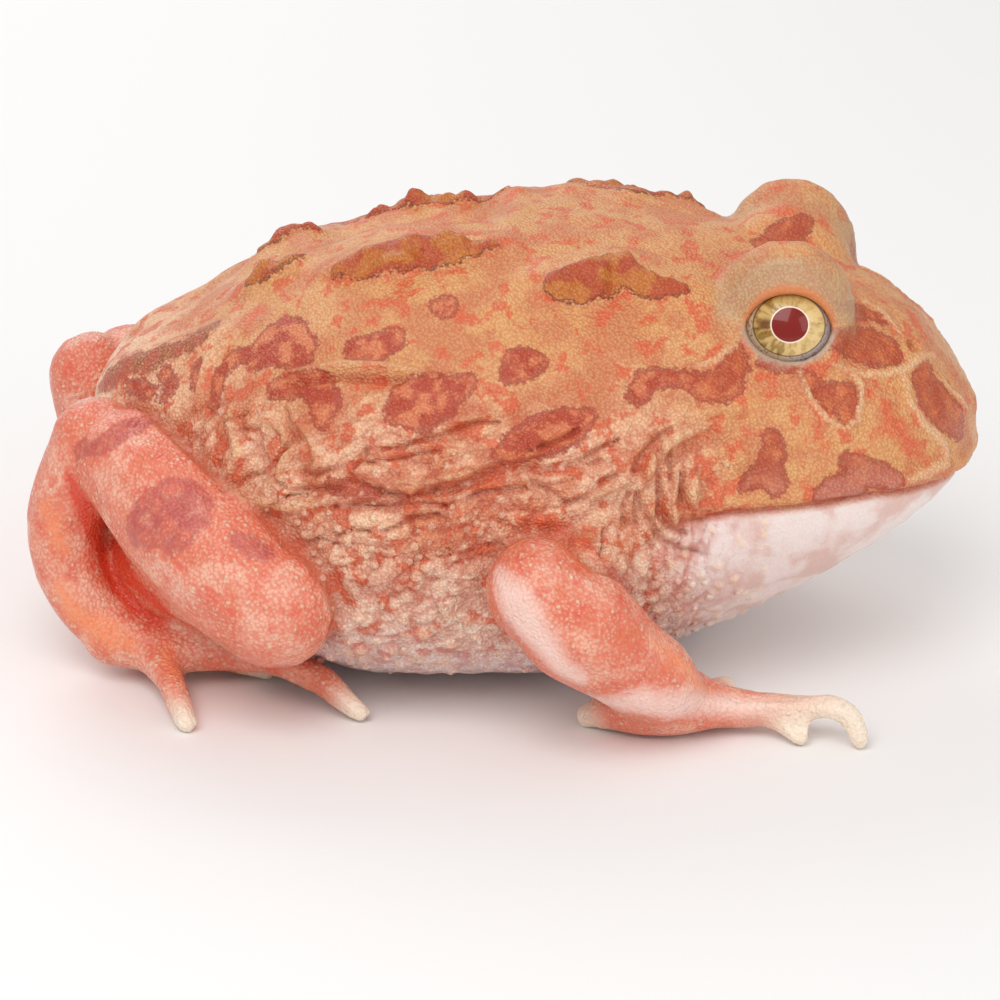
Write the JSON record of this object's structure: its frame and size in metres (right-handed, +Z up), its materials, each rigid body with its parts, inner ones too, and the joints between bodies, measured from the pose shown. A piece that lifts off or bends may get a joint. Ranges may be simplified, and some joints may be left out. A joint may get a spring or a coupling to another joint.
{
  "type": "argentine horned frog",
  "caption": "Life-size still model of a sitting argentine horned frog: broad head with raised eyes, wide mouth closed, heavy round body and short stout legs.",
  "frame": {"origin": "centre of the bounding box's base, on the floor that the frog sits on", "axes": "+X towards the tip of the snout, +Y towards the frog's left side, +Z up"},
  "size_m": [0.1184, 0.091, 0.0548],
  "materials": {
    "skin_back": "moist, finely granular skin",
    "skin_limb": "moist, finely granular skin",
    "skin_throat": "smooth moist skin",
    "skin_lid": "moist, finely granular skin",
    "eye_gloss": "wet and glossy"
  },
  "bodies": {
    "root": {"eye_left": "eye_gloss", "eye_right": "eye_gloss", "eyelid_left": "skin_lid", "eyelid_right": "skin_lid", "foot_left": "skin_limb", "foot_right": "skin_limb", "forearm_left": "skin_limb", "forearm_right": "skin_limb", "hand_left": "skin_limb", "hand_right": "skin_limb", "head": "skin_back", "lower_jaw": "skin_throat", "shank_left": "skin_limb", "shank_right": "skin_limb", "thigh_left": "skin_limb", "thigh_right": "skin_limb", "torso": "skin_back", "upper_arm_left": "skin_limb", "upper_arm_right": "skin_limb"}
  },
  "joints": []
}
